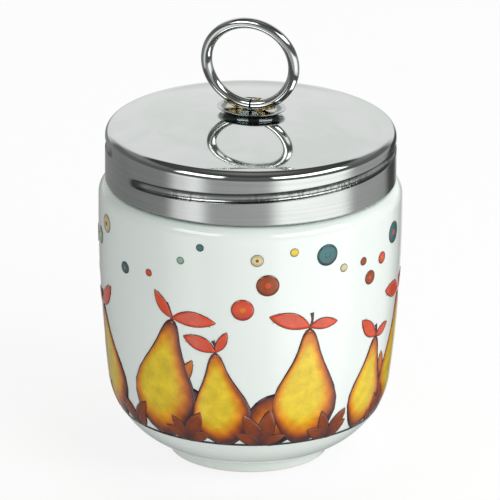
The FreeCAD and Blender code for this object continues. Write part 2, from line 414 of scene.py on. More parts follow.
@dataclass(frozen=True)
class BrazeMetal:
    """Brass-coloured braze, browned by the flame."""

    name: str = "heat_tinted_braze"
    gold: Colour = (0.66, 0.55, 0.32)
    brown: Colour = (0.36, 0.23, 0.11)

    def material(self, polish: bpy.types.NodeTree) -> bpy.types.Material:
        """Makes the braze material from the shared polishing group."""
        material, shader, surface = new_material(self.name, {"Metallic": 1.0})
        marks = shader.group(polish, {"Line Size": 900.0, "Scratches": 0.2, "Gloss": 0.22})
        blots = shader.noise(shader.place(), 1100.0, 3.0)
        tone = shader.mix(shader.ramp(blots, ((0.42, 0.0), (0.62, 1.0))), self.gold, self.brown)
        shader.feed(surface, {"Base Color": tone, "Roughness": marks["Roughness"],
                              "Normal": shader.bump(blots, 0.06)})
        return material


@dataclass(frozen=True)
class SoftSeal:
    """Milky food-grade rubber."""

    tone: Colour = (0.80, 0.79, 0.74)
    grain_tone: Colour = (0.74, 0.72, 0.66)

    def material(self) -> bpy.types.Material:
        """Makes the seal's material."""
        material, shader, surface = new_material("milky_seal_rubber", {
            "Subsurface Weight": 0.3, "Subsurface Scale": 0.0008, "Specular IOR Level": 0.35})
        grain = shader.noise(shader.place(), 1800.0, 3.0)
        shader.feed(surface, {"Base Color": shader.mix(grain, self.tone, self.grain_tone),
                              "Roughness": shader.ramp(grain, ((0.2, 0.48), (0.8, 0.62))),
                              "Normal": shader.bump(grain, 0.01)})
        return material


# Modelling with operators


def select(*pieces: bpy.types.Object) -> None:
    """Leaves edit mode and selects these pieces or none, the first of them active."""
    if bpy.context.mode != "OBJECT":
        bpy.ops.object.mode_set(mode="OBJECT")
    bpy.ops.object.select_all(action="DESELECT")
    for piece in pieces:
        piece.select_set(True)
    if pieces:
        bpy.context.view_layer.objects.active = pieces[0]


def link(name: str, data: bpy.types.ID) -> bpy.types.Object:
    """Puts a mesh, a light or a camera into the scene as a new object."""
    item = bpy.data.objects.new(name, data)
    bpy.context.scene.collection.objects.link(item)
    return item


@contextmanager
def editing(piece: bpy.types.Object) -> Iterator[None]:
    """Opens a piece alone in edit mode with all of it selected."""
    select(piece)
    bpy.ops.object.mode_set(mode="EDIT")
    bpy.ops.mesh.select_all(action="SELECT")
    yield
    bpy.ops.object.mode_set(mode="OBJECT")


def settle(piece: bpy.types.Object, name: str) -> bpy.types.Object:
    """Names a piece, puts its place into its mesh and smooths it."""
    select(piece)
    bpy.ops.object.transform_apply(location=True, rotation=True, scale=True)
    bpy.ops.object.shade_smooth()
    piece.name = name
    piece.data.name = name
    return piece


def coords(piece: bpy.types.Object) -> np.ndarray:
    """Reads a piece's points, in millimetres, one row each."""
    flat = np.empty(len(piece.data.vertices) * 3)
    piece.data.vertices.foreach_get("co", flat)
    return flat.reshape(-1, 3) / MM


def move_points(piece: bpy.types.Object, points: np.ndarray) -> None:
    """Writes a piece's points from millimetres."""
    piece.data.vertices.foreach_set("co", (points * MM).ravel())
    piece.data.update()


def polar(points: np.ndarray) -> tuple[np.ndarray, np.ndarray]:
    """Radius of points and their angle in degrees, about the axis."""
    return np.hypot(points[:, 0], points[:, 1]), np.degrees(np.arctan2(points[:, 1], points[:, 0]))


def mark(piece: bpy.types.Object, name: str, values: np.ndarray) -> None:
    """Keeps a value at each point of a piece, for its material to read."""
    layer = piece.data.attributes.new(name, "FLOAT", "POINT")
    layer.data.foreach_set("value", values)


class Profile:
    """Half of a turned section, drawn point by point as radius and height in millimetres."""

    def __init__(self, r: float, z: float) -> None:
        """Starts the section at a point."""
        self.points: list[Point] = [(r, z)]

    def line(self, r: float, z: float, parts: int = 1) -> "Profile":
        """Draws a straight stretch in equal parts."""
        r0, z0 = self.points[-1]
        self.points += [(r0 + (r - r0) * i / parts, z0 + (z - z0) * i / parts) for i in range(1, parts + 1)]
        return self

    def bulge(self, r: float, z: float, sagitta: float, parts: int) -> "Profile":
        """Draws an arc to a point, bulging to the right of the way drawn for a positive sagitta."""
        r0, z0 = self.points[-1]
        chord = math.hypot(r - r0, z - z0)
        side = ((z - z0) / chord, -(r - r0) / chord)
        radius = (chord * chord / 4 + sagitta * sagitta) / (2 * abs(sagitta))
        half = math.asin(min(1.0, chord / 2 / radius))
        for i in range(1, parts + 1):
            at = -half + 2 * half * i / parts
            along = 0.5 + math.sin(at) * radius / chord
            out = math.copysign(radius * (math.cos(at) - math.cos(half)), sagitta)
            self.points.append((r0 + (r - r0) * along + side[0] * out,
                                z0 + (z - z0) * along + side[1] * out))
        return self

    def round(self, centre: Point, radius: float, start: float, end: float, parts: int) -> "Profile":
        """Draws an arc about a centre, between two angles in degrees."""
        for i in range(1, parts + 1):
            at = math.radians(start + (end - start) * i / parts)
            self.points.append((centre[0] + radius * math.cos(at), centre[1] + radius * math.sin(at)))
        return self

    def over(self, ball: "Ball", r: float, parts: int) -> "Profile":
        """Follows a ball from the last point to a radius."""
        r0 = self.points[-1][0]
        for i in range(1, parts + 1):
            at = r0 + (r - r0) * i / parts
            self.points.append((at, ball.z(at)))
        return self


@dataclass(frozen=True)
class Ball:
    """Ball that a dome is part of: a base circle at a height, and a rise, negative for a dish."""

    base_r: float
    base_z: float
    rise: float

    def z(self, r: float) -> float:
        """Height of the surface at a radius."""
        size = (self.base_r ** 2 + self.rise ** 2) / (2 * abs(self.rise))
        return self.base_z + math.copysign(math.sqrt(size ** 2 - r ** 2) - size + abs(self.rise), self.rise)


def turned(name: str, profile: Profile, steps: int) -> bpy.types.Object:
    """Turns a section about the axis: a point is extruded along the section and spun.

    Args:
        name: Name of the piece.
        profile: The section, closed or ending on the axis.
        steps: How many steps one turn has.

    Returns:
        The turned piece.
    """
    first = profile.points[0]
    select()
    bpy.ops.mesh.primitive_plane_add(size=MM, location=(first[0] * MM, 0.0, first[1] * MM))
    piece = bpy.context.object
    with editing(piece):
        bpy.ops.mesh.merge(type="CENTER")
        for (r0, z0), (r1, z1) in zip(profile.points, profile.points[1:]):
            bpy.ops.mesh.extrude_region_move(
                TRANSFORM_OT_translate={"value": ((r1 - r0) * MM, 0.0, (z1 - z0) * MM)})
        bpy.ops.mesh.select_all(action="SELECT")
        bpy.ops.mesh.spin(steps=steps, angle=2 * math.pi, center=(0, 0, 0), axis=(0, 0, 1))
        bpy.ops.mesh.select_all(action="SELECT")
        bpy.ops.mesh.remove_doubles(threshold=2e-6)
        bpy.ops.mesh.normals_make_consistent(inside=False)
    return settle(piece, name)


def smooth_step(x: np.ndarray) -> np.ndarray:
    """Soft step from 0 to 1 as x runs from 0 to 1."""
    held = np.clip(x, 0.0, 1.0)
    return held * held * (3 - 2 * held)


def pairs(x: np.ndarray, y: np.ndarray) -> np.ndarray:
    """Points of the flat, one row each, from places round the cup and up it."""
    return np.stack([x, y], axis=1)


def circle(at: np.ndarray, radius: float, angle: np.ndarray) -> np.ndarray:
    """Points of a circle, by angles in radians from the top, clockwise."""
    return at + radius * pairs(np.sin(angle), np.cos(angle))


@dataclass(frozen=True)
class Thread:
    """Coarse two-start screw thread, as the lid is rolled and the neck is cast."""

    lead_mm: float = 7.35
    starts: int = 2
    length_deg: float = 168.0
    first_deg: float = -129.0
    lid_rise_mm: float = 4.85
    skirt_edge_mm: float = 60.4
    neck_length_deg: float = 160.0
    neck_before_deg: float = 67.0

    def lid_height(self) -> float:
        """Height of the middle of the lid's thread where it begins."""
        return self.skirt_edge_mm + self.lid_rise_mm

    def neck_height(self) -> float:
        """Height of the middle of the neck's thread where it begins, half way between the lid's starts."""
        return self.lid_height() + self.lead_mm / self.starts / 2 - self.lead_mm * self.neck_before_deg / 360

    def along(self, angle_deg: np.ndarray, first_deg: float) -> np.ndarray:
        """Degrees round from the beginning of the start that passes at an angle."""
        return np.mod(angle_deg - first_deg, 360.0 / self.starts)


def ends_mask(along: np.ndarray, length: float, taper: float) -> np.ndarray:
    """Is 1 along a thread's start and falls to 0 at its two ends."""
    return smooth_step(along / taper) * smooth_step((length - along) / taper)


def dress(piece: bpy.types.Object, material: bpy.types.Material, body: Body,
          stands_for: Sequence[str] = ()) -> bpy.types.Object:
    """Gives a piece its finish and its body, and hides the nodes it stands for.

    Args:
        piece: The finished piece.
        material: Its only material.
        body: The body that it rides on.
        stands_for: Nodes that it replaces.

    Returns:
        The piece.
    """
    piece.data.materials.clear()
    piece.data.materials.append(material)
    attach(piece, body.value)
    if stands_for:
        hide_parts(*stands_for)
    LOG.info("%s rides on %s with %d points", piece.name, body.value, len(piece.data.vertices))
    return piece


# Cup


@dataclass
class Cup:
    """Porcelain cup: foot, bowl, wall, shoulder, screw neck and egg cavity."""

    thread: Thread
    steps: int = 256
    foot_r: float = 17.3
    foot_h: float = 2.5
    foot_draft: float = 0.4
    foot_w: float = 2.6
    foot_round: float = 0.6
    belly_r: float = 29.8
    belly_z: float = 17.5
    barrel: float = 0.65
    shoulder_round: float = 3.0
    shoulder_w: float = 3.2
    neck_h: float = 10.4
    neck_wall: float = 3.4
    body_wall: float = 3.6
    rim_round: float = 0.9
    floor_t: float = 4.2
    floor_r: float = 11.0
    underside: float = 1.5
    recess_lip: Point = (0.2, 0.6)
    foot_seam: float = 0.35
    neck_fillet: float = 0.35
    thread_h: float = 1.05
    thread_w: float = 2.2
    thread_flank: float = 1.35
    thread_taper_deg: float = 7.0
    body_r: float = field(init=False)
    rim_z: float = field(init=False)
    outside: list[Point] = field(init=False, default_factory=list)

    def __post_init__(self) -> None:
        """Takes the cup's radius and height from the frame."""
        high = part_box("porcelain_cup")[1]
        self.body_r = high[0] / MM
        self.rim_z = high[2] / MM

    def section(self) -> Profile:
        """Draws the cup's section and keeps its outside for the print.

        Returns:
            The closed half section, from the middle of the underside round to the middle of the floor.
        """
        table_r = self.foot_r - self.foot_draft
        foot_in = table_r - self.foot_w
        shoulder_z = self.rim_z - self.neck_h
        wall_z = shoulder_z - self.shoulder_round
        neck_r = self.body_r - self.shoulder_w
        mouth_r = neck_r - self.neck_wall
        wall_run = math.hypot(self.body_r - self.belly_r, wall_z - self.belly_z)
        wall_lean = math.atan2(self.body_r - self.belly_r, wall_z - self.belly_z)
        lean = wall_lean + 2 * math.atan(2 * self.barrel / wall_run)

        def meets(r0: float, z0: float, r1: float, z1: float) -> float:
            return math.hypot(r1 - r0, z1 - z0) / 2 * math.tan((math.atan2(r1 - r0, z1 - z0) - lean) / 2)

        floor_z = self.underside + self.floor_t
        belly_in, belly_in_z = self.belly_r - self.body_wall, self.belly_z + self.body_wall / 4
        edge = self.foot_round
        p = Profile(0.0, self.underside)
        p.line(foot_in - 2 * self.underside, self.underside, 8)
        p.bulge(foot_in - self.recess_lip[0], self.recess_lip[1], 0.25, 5)
        p.round((foot_in + edge / 2, edge / 2), edge / 2, 180, 270, 4)
        p.line(table_r - edge, 0.0, 3)
        p.round((table_r - edge, edge), edge, -90, 0, 5)
        p.line(self.foot_r - 0.06, self.foot_h - self.foot_seam, 3)
        p.bulge(self.foot_r + self.foot_seam, self.foot_h + 0.08, -0.09, 4)
        first = len(p.points) - 1
        p.bulge(self.belly_r, self.belly_z, meets(self.foot_r, self.foot_h, self.belly_r, self.belly_z), 34)
        p.bulge(self.body_r, wall_z, self.barrel, 48)
        p.round((self.body_r - self.shoulder_round, wall_z), self.shoulder_round, 0, 90, 16)
        self.outside = p.points[first:]
        p.bulge(neck_r, shoulder_z + self.neck_fillet, -0.08, 3)
        p.line(neck_r, self.rim_z - self.rim_round, 44)
        p.round((neck_r - self.rim_round, self.rim_z - self.rim_round), self.rim_round, 0, 90, 6)
        p.line(mouth_r + self.rim_round, self.rim_z, 2)
        p.round((mouth_r + self.rim_round, self.rim_z - self.rim_round), self.rim_round, 90, 180, 6)
        p.line(mouth_r, shoulder_z, 5)
        p.bulge(self.body_r - self.body_wall, wall_z - self.neck_wall, -self.neck_wall / 8, 8)
        p.bulge(belly_in, belly_in_z, -self.barrel, 12)
        p.bulge(self.floor_r, floor_z, -meets(self.floor_r, floor_z, belly_in, belly_in_z), 14)
        p.line(0.0, floor_z, 4)
        return p

    def raise_thread(self, piece: bpy.types.Object) -> None:
        """Raises the thread on the neck with soft flanks and run-out ends."""
        points = coords(piece)
        r, angle = polar(points)
        neck_r = self.body_r - self.shoulder_w
        on_neck = (np.abs(r - neck_r) < NEAR_MM) & (points[:, 2] > self.rim_z - self.neck_h + NEAR_MM)
        first = self.thread.first_deg - self.thread.neck_before_deg
        along = self.thread.along(angle, first)
        middle = self.thread.neck_height() + self.thread.lead_mm * along / 360
        across = np.abs(points[:, 2] - middle) / (self.thread_w / 2)
        rise = self.thread_h * smooth_step(self.thread_flank * (1 - across))
        rise *= ends_mask(along, self.thread.neck_length_deg, self.thread_taper_deg)
        points[:, :2] *= np.where(on_neck, (r + rise) / r, 1.0)[:, None]
        move_points(piece, points)

    def build(self, porcelain: bpy.types.Material) -> bpy.types.Object:
        """Turns the cup and puts it on its body."""
        piece = turned("cup_shell", self.section(), self.steps)
        self.raise_thread(piece)
        return dress(piece, porcelain, Body.CUP, ["porcelain_cup"])

    def radius_at(self, z: np.ndarray) -> np.ndarray:
        """Outside radius of the cup at a height."""
        rs, zs = zip(*self.outside)
        return np.interp(z, zs, rs)


# Printed border


class Ink(Enum):
    """Colours of the ceramic print."""

    YELLOW = (0.84, 0.60, 0.030)
    GOLD = (0.84, 0.40, 0.012)
    AMBER = (0.72, 0.20, 0.010)
    RUST = (0.36, 0.070, 0.012)
    PLUM = (0.075, 0.028, 0.034)
    OUTLINE = (0.020, 0.012, 0.014)
    CORAL = (0.74, 0.085, 0.035)
    TEAL = (0.030, 0.150, 0.165)
    SEA = (0.28, 0.46, 0.36)
    CREAM = (0.72, 0.62, 0.34)


def blend_inks(stops: Sequence[tuple[float, Ink]], at: np.ndarray) -> np.ndarray:
    """Colours along a run of inks.

    Args:
        stops: Place and ink of each stop.
        at: Where each point lies on the run.

    Returns:
        One colour a row.
    """
    places = [place for place, _ in stops]
    return np.stack([np.interp(at, places, tones) for tones in zip(*(ink.value for _, ink in stops))], axis=1)


class Blank(Enum):
    """Flat meshes that every printed shape starts from: sides and rings of a disc, or steps of a strip."""

    FRUIT = (56, 12)
    SPOT = (32, 4)
    LINE = (28, 2)
    HATCH = (5, 1)


@dataclass
class PrintedBorder:
    """Generic border of pears, plums and leaves on a ground line, with loose rings and spots above it.

    A shape is drawn flat, as millimetres round the cup and up it, and laid on the cup.
    """

    cup: Cup
    seed: int = 11
    ground_z: float = 10.6
    line_w: float = 0.45
    line_parts: int = 12
    line_layer: float = 22.0
    spray_layer: float = 18.0
    pears: int = 12
    pear_layers: Point = (6.0, 12.0)
    pear_heights: tuple[float, ...] = (26.5, 20.5, 24.0, 28.0, 21.5)
    spots: int = 40
    spot_sizes: tuple[float, ...] = (2.3, 0.85, 1.25, 1.9, 0.75, 1.5)
    plain_spot_r: float = 1.1
    spot_zone: Point = (33.0, 55.5)
    spot_room: float = 2.0
    lift: float = 0.024
    layer: float = 0.005
    depth: float = 0.07
    flat_r: float = 31.0
    sheet: str = "printed_fruit"
    parts: dict[str, list[bpy.types.Object]] = field(default_factory=dict)
    taken: list[tuple[float, float, float]] = field(default_factory=list)

    def __post_init__(self) -> None:
        """Seeds the border's own draw and models the blanks."""
        self.rng = random.Random(self.seed)
        self.blanks = {kind: self.disc_blank(*kind.value) for kind in (Blank.FRUIT, Blank.SPOT)}
        self.blanks |= {kind: self.strip_blank(*kind.value) for kind in (Blank.LINE, Blank.HATCH)}

    @property
    def turn(self) -> float:
        """Length of the flat drawing, once round the cup."""
        return 2 * math.pi * self.flat_r

    def disc_blank(self, sides: int, rings: int) -> bpy.types.Object:
        """Models a round blank: a circle whose edge is extruded inwards ring by ring."""
        select()
        bpy.ops.mesh.primitive_circle_add(vertices=sides, radius=MM, fill_type="NOTHING")
        blank = bpy.context.object
        with editing(blank):
            for ring in range(rings, 1, -1):
                bpy.ops.mesh.extrude_region_move()
                bpy.ops.transform.resize(value=((ring - 1) / ring, (ring - 1) / ring, 1.0))
            bpy.ops.mesh.edge_face_add()
            bpy.ops.mesh.poke()
            bpy.ops.mesh.select_all(action="SELECT")
            bpy.ops.mesh.normals_make_consistent(inside=False)
        return settle(blank, "disc_blank")

    def strip_blank(self, length: int, width: int) -> bpy.types.Object:
        """Models a strip blank, from 0 to 1 along X and -1 to 1 across Y."""
        select()
        bpy.ops.mesh.primitive_grid_add(x_subdivisions=length, y_subdivisions=width, size=2 * MM)
        blank = bpy.context.object
        with editing(blank):
            bpy.ops.transform.translate(value=(MM, 0.0, 0.0))
            bpy.ops.transform.resize(value=(0.5, 1.0, 1.0), center_override=(0.0, 0.0, 0.0))
        return settle(blank, "strip_blank")

    def lay(self, kind: Blank, flat: np.ndarray, colour: np.ndarray, layer: float) -> None:
        """Copies a blank, lays it on the cup and paints it.

        Args:
            kind: The blank that the shape is made of.
            flat: Where each point goes, round the cup and up it, in millimetres.
            colour: One colour, or one a point.
            layer: How many layers of ink lie under it.
        """
        piece = link("print_part", self.blanks[kind].data.copy())
        angle = flat[:, 0] / self.flat_r
        r = self.cup.radius_at(flat[:, 1]) + self.lift + layer * self.layer
        move_points(piece, np.stack([r * np.cos(angle), r * np.sin(angle), flat[:, 1]], axis=1))
        ink = piece.data.color_attributes.new("ink", "FLOAT_COLOR", "POINT")
        rgba = np.ones((len(flat), 4))
        rgba[:, :3] = colour
        ink.data.foreach_set("color", rgba.ravel())
        self.parts.setdefault(self.sheet, []).append(piece)

    def stroke(self, path: Curve, width: Curve, ink: Ink, layer: float, kind: Blank = Blank.LINE) -> None:
        """Draws a line of changing width.

        Args:
            path: Gives a point on the flat for each place along the line, 0 to 1.
            width: Gives the line's width there.
            ink: Its colour.
            layer: How many layers lie under it.
            kind: The blank that it is made of.
        """
        blank = coords(self.blanks[kind])
        u, v = blank[:, 0], blank[:, 1]
        step = 1e-3
        ahead = path(np.minimum(u + step, 1.0)) - path(np.maximum(u - step, 0.0))
        side = pairs(-ahead[:, 1], ahead[:, 0])
        side /= np.maximum(np.linalg.norm(side, axis=1), 1e-9)[:, None]
        flat = path(u) + side * (v * width(u) / 2)[:, None]
        self.lay(kind, flat, np.array(ink.value), layer)

    def patch(self, outline: Curve, centre: np.ndarray, paint: Paint, layer: float,
              kind: Blank = Blank.SPOT) -> None:
        """Fills an outline.

        Args:
            outline: Gives the edge for each angle, in radians from the top, clockwise.
            centre: Middle that the outline is drawn about.
            paint: Gives colours for points, from how far out they lie and where they are.
            layer: How many layers lie under it.
            kind: The blank that it is made of.
        """
        blank = coords(self.blanks[kind])
        out = np.hypot(blank[:, 0], blank[:, 1])
        angle = np.arctan2(blank[:, 0], blank[:, 1])
        flat = centre + (outline(angle) - centre) * out[:, None]
        self.lay(kind, flat, paint(out, flat), layer)

    @staticmethod
    def placer(at: float, foot: float, tilt: float) -> Curve:
        """Turns a shape about its foot and puts the foot at a place on the cup."""
        c, s = math.cos(tilt), math.sin(tilt)

        def place(local: np.ndarray) -> np.ndarray:
            x, y = local[:, 0], local[:, 1]
            return pairs(at + x * c + y * s, foot - x * s + y * c)

        return place

    def leaf(self, at: Point, angle: float, length: float, inks: tuple[Ink, Ink], layer: float = 1.0) -> None:
        """Draws a curled pointed leaf with a vein and ribs.

        Args:
            at: Its foot on the flat.
            angle: Its direction, in radians from straight up, clockwise.
            length: Its length.
            inks: Colours of its foot and its tip.
            layer: How many layers lie under it.
        """
        self.sheet = "printed_leaves"
        place = self.placer(at[0], at[1], angle)
        wide = length * self.rng.uniform(0.17, 0.22)
        curl = self.rng.choice((-1, 1)) * length * self.rng.uniform(0.10, 0.18)

        def along(x: np.ndarray, y: np.ndarray) -> np.ndarray:
            return place(pairs(x + curl * y ** 2, length * y))

        def edge(t: np.ndarray) -> np.ndarray:
            y = 0.5 + 0.5 * np.cos(t)
            return along(np.sign(np.sin(t)) * wide * np.sin(np.pi * np.clip(y, 0, 1)) ** 0.8, y)

        def paint(out: np.ndarray, flat: np.ndarray) -> np.ndarray:
            run = np.hypot(flat[:, 0] - at[0], flat[:, 1] - at[1]) / length
            return blend_inks(((0.0, inks[0]), (1.0, inks[1])), run - 0.35 * (out - 0.5))

        self.patch(edge, along(np.zeros(1), np.full(1, 0.5))[0], paint, layer)
        self.stroke(lambda u: edge(2 * np.pi * u), lambda u: 0.18 + 0.12 * np.sin(2 * np.pi * u) ** 2,
                    Ink.OUTLINE, layer + 3)
        self.stroke(lambda u: along(0 * u, 0.02 + 0.88 * u), lambda u: 0.24 * (1 - 0.8 * u),
                    Ink.OUTLINE, layer + 2, Blank.HATCH)
        for side in (-1, 1):
            for rib in range(5):
                start = 0.14 + 0.14 * rib
                self.stroke(lambda u, s=side, f=start: along(s * wide * 0.75 * u, f + 0.17 * u),
                            lambda u: 0.16 * (1 - 0.7 * u), Ink.OUTLINE, layer + 2, Blank.HATCH)

    def fruit(self, at: float, height: float, width: float, tilt: float, neck: float,
              inks: Sequence[tuple[float, Ink]], layer: float) -> Callable[[np.ndarray, float], np.ndarray]:
        """Draws a shaded fruit with hatching, pores and an outline.

        Args:
            at: Place round the cup.
            height: Height of the fruit.
            width: Its greatest width.
            tilt: Lean to the right, in radians.
            neck: How much its upper part draws in, 0 for a round fruit.
            inks: Its inks from the lit side to the dark side.
            layer: How many layers lie under it.

        Returns:
            Points of its outline from their angles, drawn in by a share.
        """
        self.sheet = "printed_fruit"
        place = self.placer(at, self.ground_z, tilt)
        bend = self.rng.uniform(-1.0, 1.0) * width * 0.10
        middle = np.array([[0.0, height * 0.42]])

        def edge(t: np.ndarray, size: float = 1.0) -> np.ndarray:
            up = (1 + np.cos(t)) / 2
            x = width / 2 * np.sin(t) * (1 - neck * smooth_step((up - 0.26) / 0.62)) + bend * up ** 2
            return place(middle + (pairs(x, height * up) - middle) * size)

        centre = place(middle)[0]
        phase = self.rng.uniform(0.0, 6.0)

        def paint(out: np.ndarray, flat: np.ndarray) -> np.ndarray:
            across = (flat[:, 0] - centre[0]) / (width / 2)
            up = (flat[:, 1] - self.ground_z) / height
            lit = np.exp(-((across + 0.22) ** 2 / 0.42 + (up - 0.50) ** 2 / 0.16))
            dark = 0.44 + 0.66 * out ** 3.4 + 0.26 * np.clip(across, 0, 1) + 1.15 * np.clip(0.36 - up, 0, 1)
            dark += 0.05 * np.sin(2.1 * flat[:, 0] + phase) * np.sin(1.7 * flat[:, 1] + phase) - 0.50 * lit
            return blend_inks(inks, dark + 0.28 * np.clip(up - 0.86, 0, 1))

        self.patch(edge, centre, paint, layer, Blank.FRUIT)
        self.stroke(lambda u: edge(2 * np.pi * u + np.pi),
                    lambda u: 0.30 + 0.24 * np.sin(np.pi * u + 0.6) ** 2, Ink.OUTLINE, layer + 4)
        for side, lines, deep in ((1, 44, 0.34), (-1, 30, 0.20)):
            for i in range(lines):
                start = side * (0.55 + 2.5 * i / lines + self.rng.uniform(-0.03, 0.03))
                reach = deep * self.rng.uniform(0.45, 1.0)
                sweep = side * self.rng.uniform(0.12, 0.26)
                first = edge(np.array([start]), 0.985)[0]
                last = edge(np.array([start + sweep]), 1.0 - reach)[0]
                self.stroke(lambda u, a=first, b=last: a + (b - a) * u[:, None],
                            lambda u: 0.17 * (1 - u) + 0.03, Ink.PLUM, layer + 2, Blank.HATCH)
        for row in range(5):
            for tick in range(6):
                t, size = -1.9 + 0.34 * tick + 0.17 * (row % 2), 0.16 + 0.14 * row
                spot = edge(np.array([t + self.rng.uniform(-0.1, 0.1)]), size)[0]
                reach = self.rng.uniform(0.35, 0.6)
                self.stroke(lambda u, s=spot, w=reach: s + w * pairs(2 * u - 1, -0.35 * np.sin(np.pi * u)),
                            lambda u: 0.13 * np.sin(np.pi * u) + 0.02, Ink.AMBER, layer + 2, Blank.HATCH)
        return edge

    def pear(self, at: float, height: float, width: float, tilt: float, layer: float) -> None:
        """Draws a pear with a stalk and two coral leaves, and keeps the spots off its top."""
        inks = ((0.30, Ink.YELLOW), (0.52, Ink.GOLD), (0.74, Ink.AMBER), (0.96, Ink.RUST), (1.22, Ink.PLUM))
        edge = self.fruit(at, height, width, tilt, self.rng.uniform(0.58, 0.66), inks, layer)
        top = edge(np.zeros(1))[0]
        lean = tilt + self.rng.uniform(-0.5, 0.5)
        tip = top + height * 0.14 * np.array([math.sin(lean), math.cos(lean)])
        self.stroke(lambda u: top + (tip - top) * u[:, None] + pairs(0.3 * np.sin(np.pi * u), 0 * u),
                    lambda u: 0.80 - 0.30 * np.sin(np.pi * u), Ink.PLUM, layer + 5)
        side = self.rng.choice((-1, 1))
        for hand, share in ((side, 0.34), (-side, 0.24)):
            self.leaf((float(top[0]), float(top[1] + height * 0.02)),
                      tilt + hand * self.rng.uniform(0.8, 1.3), height * share, (Ink.CORAL, Ink.CORAL),
                      layer + 1)
        self.taken.append((float(top[0]), float(top[1]) + 2.0, height * 0.22))

    def plum(self, at: float, height: float, tilt: float) -> None:
        """Draws a dark round fruit that stands behind the pears."""
        inks = ((0.0, Ink.AMBER), (0.34, Ink.RUST), (0.80, Ink.PLUM), (1.2, Ink.OUTLINE))
        edge = self.fruit(at, height, height * 0.92, tilt, 0.0, inks, 0.0)
        top = edge(np.zeros(1))[0]
        self.leaf((float(top[0]), float(top[1]) - 0.2), tilt + 0.5, height * 0.55, (Ink.RUST, Ink.AMBER))
        self.taken.append((float(top[0]), float(top[1]) + 2.0, height * 0.30))

    def spray(self, at: float) -> None:
        """Draws dark leaves that stand on the ground line in front of the fruit."""
        for lean, length in ((-0.95, 6.2), (-0.4, 7.8), (0.35, 8.6), (0.95, 6.0)):
            self.leaf((at, self.ground_z - 0.1), lean + self.rng.uniform(-0.1, 0.1),
                      length * self.rng.uniform(0.85, 1.1), (Ink.PLUM, Ink.RUST), self.spray_layer)

    def ring(self, at: np.ndarray, radius: float, width: float, ink: Ink, layer: float) -> None:
        """Draws a round line."""
        self.stroke(lambda u: circle(at, radius, 2 * np.pi * u), lambda u: 0 * u + width, ink, layer)

    def spot(self, at: np.ndarray, radius: float, inks: tuple[Ink, Ink, Ink]) -> None:
        """Draws a spot: a shaded disc, an inner ring, a centre and an outline.

        Args:
            at: Its middle on the flat.
            radius: Its size.
            inks: Colours of the disc, the ring and the centre.
        """
        def paint(out: np.ndarray, flat: np.ndarray) -> np.ndarray:
            lower = np.clip((at[1] - flat[:, 1]) / radius, 0, 1)
            return blend_inks(((0.0, inks[0]), (1.5, Ink.PLUM)), out ** 4 * 0.5 + lower * 0.35)

        self.patch(lambda t: circle(at, radius, t), at, paint, 1.0)
        if radius > self.plain_spot_r:
            self.ring(at, radius * 0.62, radius * 0.22, inks[1], 2.0)
            self.patch(lambda t: circle(at, radius * 0.28, t), at,
                       lambda out, flat: np.tile(inks[2].value, (len(out), 1)), 3.0)
        self.ring(at, radius, 0.15, Ink.OUTLINE, 4.0)

    def scatter(self) -> None:
        """Drops spots on the upper wall, each clear of the fruit and of the spots before it."""
        self.sheet = "printed_spots"
        kinds = ((Ink.TEAL, Ink.SEA, Ink.CORAL), (Ink.YELLOW, Ink.CREAM, Ink.AMBER),
                 (Ink.CORAL, Ink.CREAM, Ink.AMBER), (Ink.TEAL, Ink.CREAM, Ink.TEAL),
                 (Ink.CREAM, Ink.GOLD, Ink.RUST), (Ink.RUST, Ink.CREAM, Ink.CORAL),
                 (Ink.SEA, Ink.TEAL, Ink.YELLOW))
        placed = 0
        while placed < self.spots:
            radius = self.spot_sizes[placed % len(self.spot_sizes)]
            at, z = self.rng.uniform(0.0, self.turn), self.rng.uniform(*self.spot_zone)
            gaps = [math.hypot((at - x + self.turn / 2) % self.turn - self.turn / 2, z - y) - size
                    for x, y, size in self.taken]
            room = self.spot_room * (1.0 if placed < self.spots * 0.8 else 0.6)
            if min(gaps) > radius + room:
                self.spot(np.array([at, z]), radius, kinds[placed % len(kinds)])
                self.taken.append((at, z, radius))
                placed += 1

    def ground_line(self) -> None:
        """Draws the line that the fruit stands on, in as many strips as it takes to stay round."""
        for i in range(self.line_parts):
            self.stroke(lambda u, i=i: pairs(self.turn * (i + u) / self.line_parts, 0 * u + self.ground_z),
                        lambda u: 0 * u + self.line_w, Ink.OUTLINE, self.line_layer)

    def fuse(self, name: str, ink: bpy.types.Material) -> None:
        """Joins the shapes of one kind into one thin printed layer and puts it on the cup."""
        select(*self.parts[name])
        bpy.ops.object.join()
        joined = self.parts[name][0]
        skin = joined.modifiers.new("ink_depth", "SOLIDIFY")
        skin.thickness = self.depth * MM
        skin.offset = -1.0
        bpy.ops.object.modifier_apply(modifier=skin.name)
        settle(joined, name)
        dress(joined, ink, Body.CUP)

    def build(self, ink: bpy.types.Material) -> None:
        """Draws the whole border and puts its printed layers on the cup."""
        pitch = self.turn / self.pears
        for i in range(self.pears):
            at = pitch * (i + 0.30) + self.rng.uniform(-1.2, 1.2)
            height = self.pear_heights[i % len(self.pear_heights)]
            if i % 3 != 1:
                self.plum(at + pitch * 0.52, self.rng.uniform(10.0, 13.0), self.rng.uniform(-0.3, 0.3))
            self.pear(at, height, height * self.rng.uniform(0.60, 0.70), self.rng.uniform(-0.22, 0.22),
                      self.pear_layers[i % 2])
            self.spray(at + pitch * (0.46 + self.rng.uniform(-0.05, 0.05)))
            self.taken += [(at + pitch * share, self.ground_z + height * 0.45, height * 0.30)
                           for share in (0.0, 0.5)]
        self.scatter()
        self.ground_line()
        for blank in self.blanks.values():
            bpy.data.objects.remove(blank)
        for name in list(self.parts):
            self.fuse(name, ink)


# Lid


